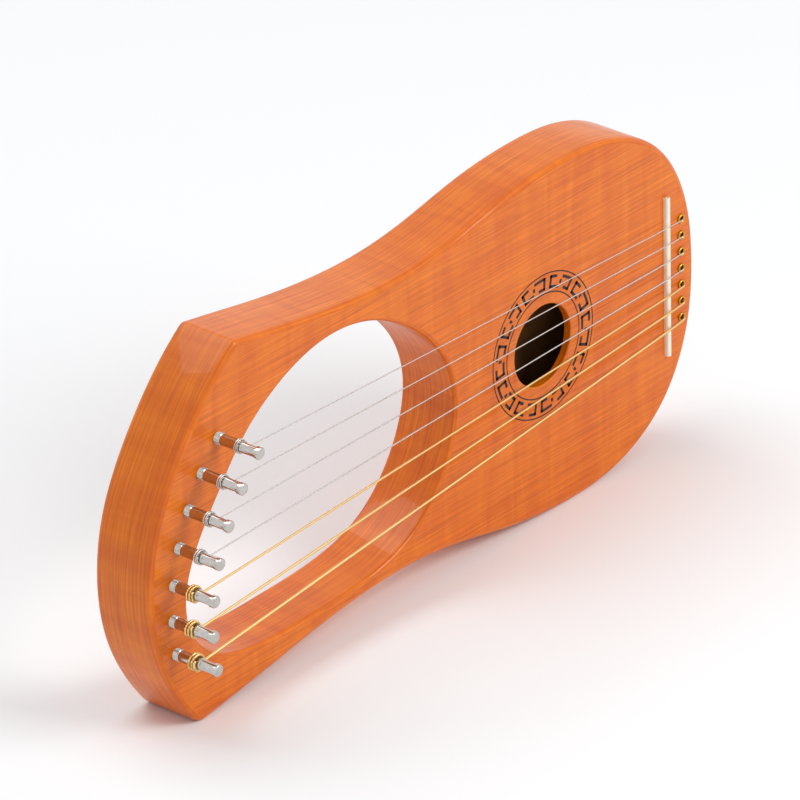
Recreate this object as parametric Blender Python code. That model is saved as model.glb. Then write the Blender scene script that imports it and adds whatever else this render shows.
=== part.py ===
"""Seven-string lyre harp, standing on its long bass side.

The harp is drawn in its own frame: x runs along the length towards the tail, y across it
towards the treble side, and z out of the face, with the sound hole's centre on the face
at the origin. An empty then stands it up, so that y points up and the face looks along -Y.
All sizes below are in millimetres.
"""

import math

import bmesh
import bpy
import numpy as np
from mathutils import Vector

MM = 0.001

# Outline: half widths along the length, the slanted head edge, and the corner radii
SIDE_STATIONS = [
    (113.0, 0.0), (109.5, 31.5), (90.0, 67.0), (53.0, 87.0), (15.0, 90.3), (-25.0, 86.6),
    (-60.0, 79.8), (-95.0, 75.9), (-130.0, 76.8), (-165.0, 80.8), (-200.0, 86.6), (-235.0, 92.0),
    (-270.0, 97.0),
]
HEAD_STATIONS = [
    (-200.0, 99.0), (-224.0, 81.5), (-252.5, 50.0), (-271.8, 15.0),
    (-277.3, -20.0), (-271.8, -52.0), (-259.5, -76.5), (-242.0, -100.0),
]
TREBLE_CORNER_RADIUS = 4.0
BASS_CORNER_RADIUS = 9.0

# Opening between the arms, anticlockwise from its tail side
OPENING_STATIONS = [
    (-63.6, 0.0), (-72.0, 24.0), (-95.0, 47.5), (-122.0, 61.5), (-152.0, 65.0), (-184.0, 56.0),
    (-210.0, 38.5), (-229.0, 16.5), (-246.5, -9.0), (-252.0, -29.0), (-248.0, -47.0),
    (-236.0, -60.5), (-211.0, -69.5), (-172.0, -71.0), (-130.0, -69.0), (-97.0, -59.5),
    (-73.5, -36.0),
]

# Body: thicknesses of the plates and walls
BODY_DEPTH = 33.5
FACE_THICKNESS = 4.0
BACK_THICKNESS = 4.0
RIB_THICKNESS = 7.0
BAR_THICKNESS = 7.0
EDGE_RADIUS = 3.0
OPENING_EDGE_RADIUS = 2.0
GLUE_GAP = 0.3

# Body: where the wall pieces are butted together, and the blocks
TREBLE_JOINT_X = -200.0
BASS_JOINT_X = -205.0
ARM_END_X = -85.0
TAIL_BLOCK_X = 84.0

# Braces under the face
BRACE_PLACES = (-45.0, 42.0)
BRACE_WIDTH = 6.0
BRACE_HEIGHT = 9.0

# Sound hole
SOUND_HOLE_RADIUS = 20.5
SOUND_HOLE_EDGE = 0.8

# Strings: seven, with the radius of each, treble first
STRING_RADII = (0.25, 0.28, 0.31, 0.34, 0.55, 0.6, 0.65)
STRING_COUNT = len(STRING_RADII)
STRING_GAP = 0.3

# Saddle and eyelets
SADDLE_X = 91.6
SADDLE_WIDTH = 3.0
SADDLE_LENGTH = 84.0
SADDLE_RISE = 2.4
SADDLE_ROUNDING = 0.8
SADDLE_STRING_PITCH = 9.0
EYELET_X = 102.9
EYELET_PITCH = 8.7
EYELET_FLANGE_RADIUS = 2.35
EYELET_FLANGE_HEIGHT = 0.8
EYELET_TUBE_RADIUS = 1.75
EYELET_BORE_RADIUS = 1.25
EYELET_DEPTH = 3.6

# Ball ends and the holes that they are fed through from the back
BALL_RADIUS = 1.9
BALL_LENGTH = 3.6
BALL_WAIST = 0.3
BALL_SEAT_DEPTH = 13.0
STRING_HOLE_RADIUS = 1.3

# Tuning pins: the row is an arc, and each pin has its own turn at rest
PIN_ARC_CENTRE = (-156.0, -32.2)
PIN_ARC_RADIUS = 106.4
PIN_PITCH = 17.75
PIN_FIRST_ANGLE = math.radians(132.7)
PIN_REST_TURNS = tuple(math.radians(a) for a in (150.0, 139.0, 146.0, 158.0, 143.0, 135.0, 149.0))
PIN_RADIUS = 3.0
PIN_SHAFT_RADIUS = 2.75
PIN_OUT = 25.7
PIN_DEPTH = 22.0
PIN_BAND = 2.8
PIN_CHAMFER = 0.8
PIN_FLAT_HALF = 2.45
PIN_HEAD_START = 15.2
PIN_FLAT_LENGTH = 8.0
PIN_TAPER = 0.5
PIN_CLEARANCE = 0.3
PIN_HOLE_CLEARANCE = 0.25

# Windings: turns on each pin, and the least gap between them
WINDING_TURNS = 2.35
WINDING_GAP = 0.55
WINDING_LIFT = 0.9

# Fineness of the faceted shapes
OUTLINE_STEP = 9.5
CORNER_STEPS = 4
EDGE_STEPS = 2
HOLE_SIDES = 12
SOUND_HOLE_SIDES = 40
PIN_SIDES = 16
LOOP_POINTS = 18
STRING_RESOLUTION = 1

# Colours of the finished surfaces
MAHOGANY = (0.62, 0.20, 0.04, 1.0)
SPRUCE = (0.72, 0.50, 0.27, 1.0)
IVORY = (0.86, 0.80, 0.66, 1.0)
NICKEL = (0.74, 0.73, 0.71, 1.0)
BRASS = (0.80, 0.58, 0.24, 1.0)
STEEL = (0.62, 0.61, 0.59, 1.0)
BRONZE = (0.78, 0.57, 0.30, 1.0)


# Curves in the plane of the face

def spline_slopes(t, p, closed):
    """Slopes of the cubic spline through points p at parameters t."""
    n = len(p) - 1 if closed else len(p)
    h = np.diff(t)
    matrix = np.zeros((n, n))
    right = np.zeros((n, 2))
    inner = range(n) if closed else range(1, n - 1)
    for i in inner:
        before, after = h[i - 1], h[i]
        back = p[i] - (p[i - 1] if i else p[n - 1])
        matrix[i, (i - 1) % n] += after
        matrix[i, i] += 2 * (before + after)
        matrix[i, (i + 1) % n] += before
        right[i] = 3 * (after * back / before + before * (p[i + 1] - p[i]) / after)
    if closed:
        slopes = np.linalg.solve(matrix, right)
        return np.vstack([slopes, slopes[:1]])
    matrix[0, :2] = 2, 1
    matrix[-1, -2:] = 1, 2
    right[0] = 3 * (p[1] - p[0]) / h[0]
    right[-1] = 3 * (p[-1] - p[-2]) / h[-1]
    return np.linalg.solve(matrix, right)


def smooth(stations, closed=False, steps=24):
    """Points along a smooth curve through the stations."""
    p = np.array(stations, float)
    if closed:
        p = np.vstack([p, p[:1]])
    t = np.append(0.0, np.cumsum(np.hypot(*np.diff(p, axis=0).T)))
    s = spline_slopes(t, p, closed)
    u = np.linspace(0.0, 1.0, steps, endpoint=False)[:, None]
    parts = []
    for i in range(len(p) - 1):
        h = t[i + 1] - t[i]
        start = (1 + 2 * u) * (1 - u) ** 2 * p[i] + u * (1 - u) ** 2 * h * s[i]
        end = u ** 2 * (3 - 2 * u) * p[i + 1] + u ** 2 * (u - 1) * h * s[i + 1]
        parts.append(start + end)
    points = np.vstack(parts)
    return points if closed else np.vstack([points, p[-1:]])


def lengths_along(points):
    """Distance of each point from the first, along the line."""
    return np.append(0.0, np.cumsum(np.hypot(*np.diff(points, axis=0).T)))


def even(points, step):
    """The same line with its points evenly spaced, about one step apart."""
    s = lengths_along(points)
    count = max(2, round(s[-1] / step) + 1)
    at = np.linspace(0.0, s[-1], count)
    return np.column_stack([np.interp(at, s, points[:, k]) for k in (0, 1)])


def left_normals(points, closed):
    """Unit normals to the left of the direction of travel."""
    if closed:
        d = np.roll(points, -1, axis=0) - np.roll(points, 1, axis=0)
    else:
        d = np.gradient(points, axis=0)
    n = np.column_stack([-d[:, 1], d[:, 0]])
    return n / np.linalg.norm(n, axis=1)[:, None]


def shifted(points, distance, closed=True):
    """The line moved to its left by a distance: inwards, on a loop that runs anticlockwise."""
    return points + distance * left_normals(points, closed)


def crossing(a, b):
    """The first point where line a crosses line b."""
    for p, q in zip(a, a[1:]):
        for r, s in zip(b, b[1:]):
            matrix = np.column_stack([q - p, r - s])
            if abs(np.linalg.det(matrix)) < 1e-12:
                continue
            u, v = np.linalg.solve(matrix, r - p)
            if 0 <= u <= 1 and 0 <= v <= 1:
                return p + u * (q - p)
    raise ValueError("the two lines don't cross")


def filleted(a, b, radius):
    """Line a as far as a round corner, the corner, and line b from there on."""
    centre = crossing(shifted(a, radius, False), shifted(b, radius, False))
    i = np.hypot(*(a - centre).T).argmin()
    j = np.hypot(*(b - centre).T).argmin()
    start = math.atan2(a[i][1] - centre[1], a[i][0] - centre[0])
    turn = (math.atan2(b[j][1] - centre[1], b[j][0] - centre[0]) - start) % (2 * math.pi)
    angles = start + turn * np.linspace(0.0, 1.0, CORNER_STEPS + 1)
    arc = centre + radius * np.column_stack([np.cos(angles), np.sin(angles)])
    return a[:i], arc, b[j + 1:]


def circle(x, y, radius, sides):
    """A round loop, anticlockwise."""
    a = 2 * math.pi * np.arange(sides) / sides
    return np.column_stack([x + radius * np.cos(a), y + radius * np.sin(a)])


def outline():
    """The body's outline, anticlockwise from the tail: treble side, head edge, bass side."""
    mirrored = [(x, -y) for x, y in SIDE_STATIONS[:0:-1]]
    sides = smooth(mirrored + SIDE_STATIONS)
    tail = len(sides) // 2
    treble, bass = sides[tail:], sides[:tail + 1]
    head = smooth(HEAD_STATIONS)
    upper, first_corner, rest = filleted(treble, head, TREBLE_CORNER_RADIUS)
    edge, second_corner, lower = filleted(rest, bass, BASS_CORNER_RADIUS)
    lines = [even(line, OUTLINE_STEP) for line in (upper, edge, lower)]
    return np.vstack([lines[0], first_corner, lines[1], second_corner, lines[2][:-1]])


def opening():
    """The opening's edge, anticlockwise from its tail side."""
    dense = smooth(OPENING_STATIONS, closed=True)
    return even(np.vstack([dense, dense[:1]]), OUTLINE_STEP)[:-1]


def height_at(points, x):
    """y on a line that runs along the length, at one or many x."""
    order = np.argsort(points[:, 0])
    return np.interp(x, points[order, 0], points[order, 1])


def run_between(points, low, high):
    """The stretch of a lengthwise line between two x, in order of rising x."""
    ordered = points[np.argsort(points[:, 0])]
    inner = ordered[(ordered[:, 0] > low + 0.5) & (ordered[:, 0] < high - 0.5)]
    ends = [(x, height_at(points, x)) for x in (low, high)]
    return np.vstack([ends[:1], inner, ends[1:]])


# Solids

def material(name, colour, roughness, metallic):
    made = bpy.data.materials.new(name)
    made.use_nodes = True
    shader = made.node_tree.nodes["Principled BSDF"]
    shader.inputs["Base Color"].default_value = colour
    shader.inputs["Roughness"].default_value = roughness
    shader.inputs["Metallic"].default_value = metallic
    made.diffuse_color = colour
    return made


def add_object(name, data, look, frame):
    made = bpy.data.objects.new(name, data)
    bpy.context.collection.objects.link(made)
    data.materials.append(material(name, *look))
    made.parent = frame
    return made


def add_mesh(name, bm, look, frame):
    """Turn a bmesh in millimetres into a named object with smooth round faces."""
    bmesh.ops.scale(bm, vec=(MM, MM, MM), verts=bm.verts)
    bmesh.ops.recalc_face_normals(bm, faces=bm.faces)
    mesh = bpy.data.meshes.new(name)
    bm.to_mesh(mesh)
    bm.free()
    mesh.shade_smooth()
    mesh.set_sharp_from_angle(angle=math.radians(35))
    return add_object(name, mesh, look, frame)


def wall(bm, rings):
    """Join a stack of loops, given as (points, z), by quads. Returns its loops of vertices."""
    loops = [[bm.verts.new((x, y, z)) for x, y in points] for points, z in rings]
    for low, high in zip(loops, loops[1:]):
        for i in range(len(low)):
            j = (i + 1) % len(low)
            bm.faces.new((low[i], low[j], high[j], high[i]))
    return loops


def add_block(name, walls, look, frame):
    """A solid between the walls' first loops and their last: the outer wall and any holes."""
    bm = bmesh.new()
    stacks = [wall(bm, rings) for rings in walls]
    for end in (0, -1):
        edges = []
        for loops in stacks:
            loop = loops[end]
            edges += [bm.edges.get((a, b)) for a, b in zip(loop, loop[1:] + loop[:1])]
        bmesh.ops.triangle_fill(bm, use_beauty=True, use_dissolve=False, edges=edges)
    return add_mesh(name, bm, look, frame)


def straight(points, low, high):
    """A wall that goes straight up."""
    return [(points, low), (points, high)]


def rounded(points, low, high, radius, into, top):
    """A wall whose top or bottom edge is rounded off. into is 1 on an outline, -1 on a hole."""
    angles = np.linspace(0.0, math.pi / 2, EDGE_STEPS + 1)
    insets = [into * radius * (1 - math.cos(a)) for a in angles]
    rises = [radius * math.sin(a) for a in angles]
    if top:
        edge = [(shifted(points, d), high - radius + h) for d, h in zip(insets, rises)]
        return [(points, low)] + edge
    edge = [(shifted(points, d), low + radius - h) for d, h in zip(insets, rises)]
    return edge[::-1] + [(points, high)]


def add_turned(name, profile, sides, look, frame, section=None):
    """A turned solid from (radius, z) pairs, bottom to top, closed by flat ends.

    section, where given, returns the radius at an angle for a profile radius and z.
    """
    angles = 2 * math.pi * np.arange(sides) / sides
    rings = []
    for radius, z in profile:
        reach = np.array([section(radius, z, a) if section else radius for a in angles])
        rings.append((np.column_stack([reach * np.cos(angles), reach * np.sin(angles)]), z))
    bm = bmesh.new()
    loops = wall(bm, rings)
    bm.faces.new(loops[0][::-1])
    bm.faces.new(loops[-1])
    return add_mesh(name, bm, look, frame)


def add_ring(name, profile, sides, look, frame):
    """A turned ring from a closed loop of (radius, z) pairs."""
    angles = 2 * math.pi * np.arange(sides) / sides
    bm = bmesh.new()
    loops = [[bm.verts.new((r * math.cos(a), r * math.sin(a), z)) for a in angles] for r, z in profile]
    for low, high in zip(loops, loops[1:] + loops[:1]):
        for i in range(sides):
            j = (i + 1) % sides
            bm.faces.new((low[i], low[j], high[j], high[i]))
    return add_mesh(name, bm, look, frame)


def add_tube(name, points, radius, look, frame):
    """A round tube along hand-made points, with filled ends."""
    curve = bpy.data.curves.new(name, "CURVE")
    curve.dimensions = "3D"
    curve.bevel_depth = radius * MM
    curve.bevel_resolution = STRING_RESOLUTION
    curve.use_fill_caps = True
    spline = curve.splines.new("POLY")
    spline.points.add(len(points) - 1)
    for point, place in zip(spline.points, points):
        point.co = (*(np.array(place) * MM), 1.0)
    return add_object(name, curve, look, frame)


# Places that several pieces share

FRAME_TOP = -FACE_THICKNESS - GLUE_GAP
FRAME_BOTTOM = -BODY_DEPTH + BACK_THICKNESS + GLUE_GAP
BALL_HOLE_RADIUS = BALL_RADIUS + GLUE_GAP + 0.1
WOOD = (MAHOGANY, 0.22, 0.0)


def pin_places():
    step = PIN_PITCH / PIN_ARC_RADIUS
    angles = [PIN_FIRST_ANGLE + i * step for i in range(STRING_COUNT)]
    x, y = PIN_ARC_CENTRE
    return [(x + PIN_ARC_RADIUS * math.cos(a), y + PIN_ARC_RADIUS * math.sin(a)) for a in angles]


def spread(pitch):
    """y of each string where the strings are evenly spaced, treble first."""
    return [pitch * ((STRING_COUNT - 1) / 2 - i) for i in range(STRING_COUNT)]


def eyelet_places():
    return [(EYELET_X, y) for y in spread(EYELET_PITCH)]


# The body

def add_plates(edge, gap, frame):
    """The face, with all that goes through it, and the back."""
    face = [
        rounded(edge, -FACE_THICKNESS, 0.0, EDGE_RADIUS, 1, True),
        rounded(gap, -FACE_THICKNESS, 0.0, OPENING_EDGE_RADIUS, -1, True),
        rounded(circle(0, 0, SOUND_HOLE_RADIUS, SOUND_HOLE_SIDES),
                -FACE_THICKNESS, 0.0, SOUND_HOLE_EDGE, -1, True),
    ]
    half_x = SADDLE_WIDTH / 2 + GLUE_GAP
    half_y = SADDLE_LENGTH / 2 + GLUE_GAP
    slot = np.array([(half_x, half_y), (-half_x, half_y), (-half_x, -half_y), (half_x, -half_y)])
    holes = [slot + (SADDLE_X, 0)]
    holes += [circle(x, y, PIN_RADIUS + PIN_CLEARANCE, PIN_SIDES) for x, y in pin_places()]
    holes += [circle(x, y, EYELET_TUBE_RADIUS + GLUE_GAP, HOLE_SIDES) for x, y in eyelet_places()]
    face += [straight(hole, -FACE_THICKNESS, 0.0) for hole in holes]
    add_block("soundboard", face, WOOD, frame)

    top = -BODY_DEPTH + BACK_THICKNESS
    back = [
        rounded(edge, -BODY_DEPTH, top, EDGE_RADIUS, 1, False),
        rounded(gap, -BODY_DEPTH, top, OPENING_EDGE_RADIUS, -1, False),
    ]
    back += [
        straight(circle(x, y, BALL_HOLE_RADIUS, HOLE_SIDES), -BODY_DEPTH, top)
        for x, y in eyelet_places()
    ]
    add_block("back_plate", back, WOOD, frame)


def add_head_block(edge, gap, treble, bass, upper, lower, frame):
    """The head end between the plates, from arm to arm, with the pins' holes."""
    treble_x = TREBLE_JOINT_X - GLUE_GAP
    bass_x = BASS_JOINT_X - GLUE_GAP
    in_head = np.where(edge[:, 1] > 0, edge[:, 0] < treble_x - 1, edge[:, 0] < bass_x - 1)
    beside = np.where(gap[:, 1] > 0, gap[:, 0] < treble_x - 1, gap[:, 0] < bass_x - 1)
    loop = np.vstack([
        [(treble_x, height_at(upper, treble_x)), (treble_x, height_at(treble, treble_x))],
        edge[in_head],
        [(bass_x, height_at(bass, bass_x)), (bass_x, height_at(lower, bass_x))],
        gap[beside][::-1],
    ])
    walls = [straight(loop, FRAME_BOTTOM, FRAME_TOP)]
    for x, y in pin_places():
        hole = circle(x, y, PIN_RADIUS + PIN_CLEARANCE, PIN_SIDES)
        walls.append(straight(hole, FRAME_BOTTOM, FRAME_TOP))
    add_block("head_block", walls, WOOD, frame)


def add_frame(edge, gap, frame):
    """The wall pieces between the plates."""
    treble = edge[edge[:, 1] > -1e-9]
    treble = treble[treble[:, 0] > TREBLE_JOINT_X - OUTLINE_STEP]
    bass = edge[edge[:, 1] < 1e-9]
    bass = bass[bass[:, 0] > BASS_JOINT_X - OUTLINE_STEP]
    tail_side = gap[:, 0].argmax()
    head_side = gap[:, 0].argmin()
    loop = np.roll(gap, -tail_side, axis=0)
    split = (head_side - tail_side) % len(gap)
    upper, lower = loop[:split + 1], np.vstack([loop[split:], loop[:1]])

    add_head_block(edge, gap, treble, bass, upper, lower, frame)

    arms = (
        ("treble_arm", treble, upper, TREBLE_JOINT_X),
        ("bass_arm", bass, lower, BASS_JOINT_X),
    )
    for name, outer, inner, start in arms:
        out = run_between(outer, start, ARM_END_X)
        back = run_between(inner, start, ARM_END_X)[::-1]
        add_block(name, [straight(np.vstack([out, back]), FRAME_BOTTOM, FRAME_TOP)], WOOD, frame)

    inset = shifted(edge, RIB_THICKNESS)
    rib_start = ARM_END_X + GLUE_GAP
    rib_end = TAIL_BLOCK_X - GLUE_GAP
    for name, outer, sign in (("treble_rib", treble, 1), ("bass_rib", bass, -1)):
        inner = inset[inset[:, 1] * sign > 0]
        out = run_between(outer, rib_start, rib_end)
        back = run_between(inner, rib_start, rib_end)[::-1]
        add_block(name, [straight(np.vstack([out, back]), FRAME_BOTTOM, FRAME_TOP)], WOOD, frame)

    bar = np.roll(loop, len(loop) // 2, axis=0)
    around = shifted(bar, -BAR_THICKNESS)
    pieces = []
    for line in (bar, around):
        inner = line[line[:, 0] > rib_start + 0.5]
        ends = [line[(line[:, 0] > rib_start - 2 * OUTLINE_STEP) & (line[:, 1] * s > 0)] for s in (-1, 1)]
        first, last = [(rib_start, height_at(end, rib_start)) for end in ends]
        pieces.append(np.vstack([[first], inner, [last]]))
    closed = np.vstack([pieces[0], pieces[1][::-1]])
    add_block("waist_bar", [straight(closed, FRAME_BOTTOM, FRAME_TOP)], WOOD, frame)

    tail = edge[edge[:, 0] > TAIL_BLOCK_X + 1]
    tail = tail[np.argsort(np.arctan2(tail[:, 1], tail[:, 0] - TAIL_BLOCK_X))]
    corners = [(TAIL_BLOCK_X, height_at(side, TAIL_BLOCK_X)) for side in (bass, treble)]
    closed = np.vstack([corners[:1], tail, corners[1:]])
    walls = [straight(closed, FRAME_BOTTOM, FRAME_TOP)]
    for x, y in eyelet_places():
        wide = circle(x, y, BALL_HOLE_RADIUS, HOLE_SIDES)
        narrow = circle(x, y, STRING_HOLE_RADIUS, HOLE_SIDES)
        walls.append([
            (wide, FRAME_BOTTOM), (wide, -BALL_SEAT_DEPTH),
            (narrow, -BALL_SEAT_DEPTH), (narrow, FRAME_TOP),
        ])
    add_block("tail_block", walls, WOOD, frame)

    return inset


def add_braces(inset, frame):
    """The two bars glued under the face, from rib to rib."""
    for number, x in enumerate(BRACE_PLACES, 1):
        sides = (x - BRACE_WIDTH / 2, x + BRACE_WIDTH / 2)
        top = min(height_at(inset[inset[:, 1] > 0], side) for side in sides) - GLUE_GAP
        bottom = max(height_at(inset[inset[:, 1] < 0], side) for side in sides) + GLUE_GAP
        loop = np.array([
            (sides[0], bottom), (sides[1], bottom), (sides[1], top), (sides[0], top),
        ])
        add_block(f"brace_{number}", [straight(loop, FRAME_TOP - BRACE_HEIGHT, FRAME_TOP)],
                  (SPRUCE, 0.6, 0.0), frame)


# Fittings at the tail

def add_saddle(frame):
    """The string rest: a bar with a rounded top, set through the face onto the tail block."""
    half = SADDLE_WIDTH / 2
    foot = -FACE_THICKNESS
    angles = np.linspace(0.0, math.pi / 2, 4)
    shoulder = [
        (half - SADDLE_ROUNDING * (1 - math.cos(a)),
         SADDLE_RISE - SADDLE_ROUNDING * (1 - math.sin(a)))
        for a in angles
    ]
    profile = [(-half, foot), (half, foot)] + shoulder + [(-x, z) for x, z in shoulder[::-1]]
    bm = bmesh.new()
    ends = []
    for y in (-SADDLE_LENGTH / 2, SADDLE_LENGTH / 2):
        ends.append([bm.verts.new((SADDLE_X + x, y, z)) for x, z in profile])
    for i in range(len(profile)):
        j = (i + 1) % len(profile)
        bm.faces.new((ends[0][i], ends[0][j], ends[1][j], ends[1][i]))
    bm.faces.new(ends[0])
    bm.faces.new(ends[1][::-1])
    add_mesh("saddle", bm, (IVORY, 0.35, 0.0), frame)


def add_eyelets(frame):
    """Brass eyelets that line the string holes, with their flanges on the face."""
    low = GLUE_GAP
    high = GLUE_GAP + EYELET_FLANGE_HEIGHT
    roll = EYELET_FLANGE_HEIGHT / 2
    profile = [
        (EYELET_BORE_RADIUS, -EYELET_DEPTH),
        (EYELET_TUBE_RADIUS, -EYELET_DEPTH),
        (EYELET_TUBE_RADIUS, low),
        (EYELET_FLANGE_RADIUS - roll / 2, low),
        (EYELET_FLANGE_RADIUS, low + roll),
        (EYELET_FLANGE_RADIUS - roll / 2, high),
        (EYELET_BORE_RADIUS + roll / 2, high),
        (EYELET_BORE_RADIUS, high - roll / 2),
    ]
    for number, (x, y) in enumerate(eyelet_places(), 1):
        made = add_ring(f"eyelet_{number}", profile, HOLE_SIDES, (BRASS, 0.3, 1.0), frame)
        made.location = (x * MM, y * MM, 0.0)


def add_ball_ends(frame):
    """The brass barrel at the end of each string, drawn up against the seat in the block."""
    half = BALL_LENGTH / 2
    profile = [
        (BALL_RADIUS - BALL_WAIST, -half), (BALL_RADIUS, -half + BALL_WAIST),
        (BALL_RADIUS - BALL_WAIST, 0.0),
        (BALL_RADIUS, half - BALL_WAIST), (BALL_RADIUS - BALL_WAIST, half),
    ]
    z = -BALL_SEAT_DEPTH - GLUE_GAP - half
    for number, (x, y) in enumerate(eyelet_places(), 1):
        made = add_turned(f"ball_end_{number}", profile, HOLE_SIDES, (BRASS, 0.35, 1.0), frame)
        made.location = (x * MM, y * MM, z * MM)


# Pins and strings

def pin_section(radius, z, angle):
    """Four milled flats on the head: the round is cut where it passes them."""
    if not PIN_HEAD_START < z < PIN_HEAD_START + PIN_FLAT_LENGTH:
        return radius
    from_flat = (angle + math.pi / 4) % (math.pi / 2) - math.pi / 4
    return min(radius, PIN_FLAT_HALF / math.cos(from_flat))


def winding_top(radius):
    """z of the wire where it goes into its pin."""
    return PIN_HEAD_START - radius - STRING_GAP


def add_pins(frame):
    """The tuning pins, each turning on its own axis square to the face."""
    flats_end = PIN_HEAD_START + PIN_FLAT_LENGTH
    profile = [
        (PIN_RADIUS - PIN_CHAMFER, -PIN_DEPTH),
        (PIN_RADIUS, -PIN_DEPTH + PIN_CHAMFER),
        (PIN_RADIUS, PIN_BAND),
        (PIN_SHAFT_RADIUS, PIN_BAND + PIN_RADIUS - PIN_SHAFT_RADIUS),
        (PIN_SHAFT_RADIUS, PIN_HEAD_START - PIN_TAPER),
        (PIN_RADIUS, PIN_HEAD_START),
        (PIN_RADIUS, PIN_HEAD_START + PIN_TAPER),
        (PIN_RADIUS, flats_end - PIN_TAPER),
        (PIN_RADIUS, flats_end),
        (PIN_RADIUS, PIN_OUT - PIN_CHAMFER),
        (PIN_RADIUS - PIN_CHAMFER, PIN_OUT),
    ]
    for number, ((x, y), radius, turn) in enumerate(
            zip(pin_places(), STRING_RADII, PIN_REST_TURNS), 1):
        pin = add_turned(f"tuning_pin_{number}", profile, PIN_SIDES, (NICKEL, 0.12, 1.0),
                         frame, pin_section)
        pin.location = (x * MM, y * MM, 0.0)
        pin.rotation_euler = (0.0, 0.0, turn)
        cut_wire_hole(pin, number, winding_top(radius), radius + PIN_HOLE_CLEARANCE)


def cut_wire_hole(pin, number, z, radius):
    """Drill the hole for the wire across a pin, along the pin's own x."""
    bm = bmesh.new()
    bmesh.ops.create_cone(bm, cap_ends=True, segments=8, radius1=radius * MM, radius2=radius * MM,
                          depth=4 * PIN_RADIUS * MM)
    mesh = bpy.data.meshes.new(f"wire_drill_{number}")
    bm.to_mesh(mesh)
    bm.free()
    drill = bpy.data.objects.new(f"wire_drill_{number}", mesh)
    bpy.context.collection.objects.link(drill)
    drill.parent = pin
    drill.location = (0.0, 0.0, z * MM)
    drill.rotation_euler = (0.0, math.pi / 2, 0.0)
    drill.hide_render = True
    drill.display_type = "WIRE"
    cut = pin.modifiers.new("wire_hole", "BOOLEAN")
    cut.operation = "DIFFERENCE"
    cut.solver = "EXACT"
    cut.object = drill


def bend(before, corner, after, radius, steps):
    """An arc of a given radius in place of a corner between two straight runs."""
    a = (Vector(before) - Vector(corner)).normalized()
    b = (Vector(after) - Vector(corner)).normalized()
    half = a.angle(b) / 2
    reach = radius / math.tan(half)
    centre = Vector(corner) + (a + b).normalized() * (radius / math.sin(half))
    start = (Vector(corner) + a * reach - centre).normalized()
    end = (Vector(corner) + b * reach - centre).normalized()
    return [tuple(centre + radius * start.slerp(end, i / steps)) for i in range(steps + 1)]


def string_points(number):
    """One string's route: its winding from the wire hole down, the run, the saddle, the eyelet."""
    radius = STRING_RADII[number]
    px, py = pin_places()[number]
    top = winding_top(radius)
    wound = PIN_SHAFT_RADIUS + STRING_GAP + radius
    pitch = 2 * radius + WINDING_GAP
    over_saddle = (SADDLE_X, spread(SADDLE_STRING_PITCH)[number], SADDLE_RISE + STRING_GAP + radius)

    # The run touches the winding on the bass side of the pin
    towards = Vector((over_saddle[0] - px, over_saddle[1] - py))
    heading = math.atan2(towards.y, towards.x)
    leaving = heading - math.acos(wound / towards.length)
    hole = PIN_REST_TURNS[number]
    whole = math.floor(WINDING_TURNS) * 2 * math.pi
    total = whole + (leaving - hole) % (2 * math.pi)

    # The wire's end stands square to the pin at its hole, then bends round into the turns
    kink = radius + WINDING_LIFT
    tip = PIN_SHAFT_RADIUS + STRING_GAP
    angle_in = hole
    tail = [(tip, 0.0), (wound + WINDING_LIFT - kink * 0.35, 0.0)]
    spiral = []
    for share, lift in ((0.30, 0.85), (0.62, 0.55), (0.95, 0.2)):
        spiral.append((wound + WINDING_LIFT * lift, share))
    points = [(r, angle_in + a, top) for r, a in tail + spiral]

    steps = round(LOOP_POINTS * (total - 1.3) / (2 * math.pi))
    drop = total / (2 * math.pi) * pitch
    for i in range(steps + 1):
        turned = 1.3 + (total - 1.3) * i / steps
        points.append((wound, angle_in + turned, top - drop * turned / total))
    route = [(px + r * math.cos(a), py + r * math.sin(a), z) for r, a, z in points]

    ex, ey = eyelet_places()[number]
    last = route[-1]
    lead = (
        last[0] + (over_saddle[0] - last[0]) * 0.01,
        last[1] + (over_saddle[1] - last[1]) * 0.01,
        last[2] + (over_saddle[2] - last[2]) * 0.01,
    )
    above = (ex, ey, GLUE_GAP + EYELET_FLANGE_HEIGHT + STRING_GAP + 2 * radius)
    below = (ex, ey, -BALL_SEAT_DEPTH)
    route += [lead]
    route += bend(last, over_saddle, above, SADDLE_WIDTH * 4, 2)
    route += bend(over_saddle, above, below, 2 * radius + 0.4, 4)
    route.append(below)
    return route


def least_gap(points, radius):
    """Least clear gap between stretches of a tube that aren't next to each other."""
    p = np.array(points)
    s = np.append(0.0, np.cumsum(np.linalg.norm(np.diff(p, axis=0), axis=1)))
    at = np.linspace(0.0, min(s[-1], 90.0), 900)
    fine = np.column_stack([np.interp(at, s, p[:, k]) for k in range(3)])
    apart = np.linalg.norm(fine[:, None] - fine[None], axis=2)
    far = np.abs(at[:, None] - at[None]) > 3 * math.pi * radius + 4
    return apart[far].min() - 2 * radius


def add_strings(frame):
    for number, radius in enumerate(STRING_RADII):
        look = (STEEL, 0.3, 1.0) if number < 4 else (BRONZE, 0.35, 1.0)
        points = string_points(number)
        print(f"string_{number + 1}: least gap to itself {least_gap(points, radius):.2f} mm")
        add_tube(f"string_{number + 1}", points, radius, look, frame)


# Standing it up

def resting_angle(edge):
    """Slope of the line on which the body stands: the belly and the bass corner."""
    corner = edge[edge[:, 1].argmin()]
    for _ in range(4):
        right = edge[edge[:, 0] > corner[0] + 100]
        slopes = (right[:, 1] - corner[1]) / (right[:, 0] - corner[0])
        belly = right[slopes.argmin()]
        left = edge[(edge[:, 0] < belly[0] - 100) & (edge[:, 1] < 0)]
        slopes = (belly[1] - left[:, 1]) / (belly[0] - left[:, 0])
        corner = left[slopes.argmax()]
    return math.atan2(belly[1] - corner[1], belly[0] - corner[0])


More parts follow.
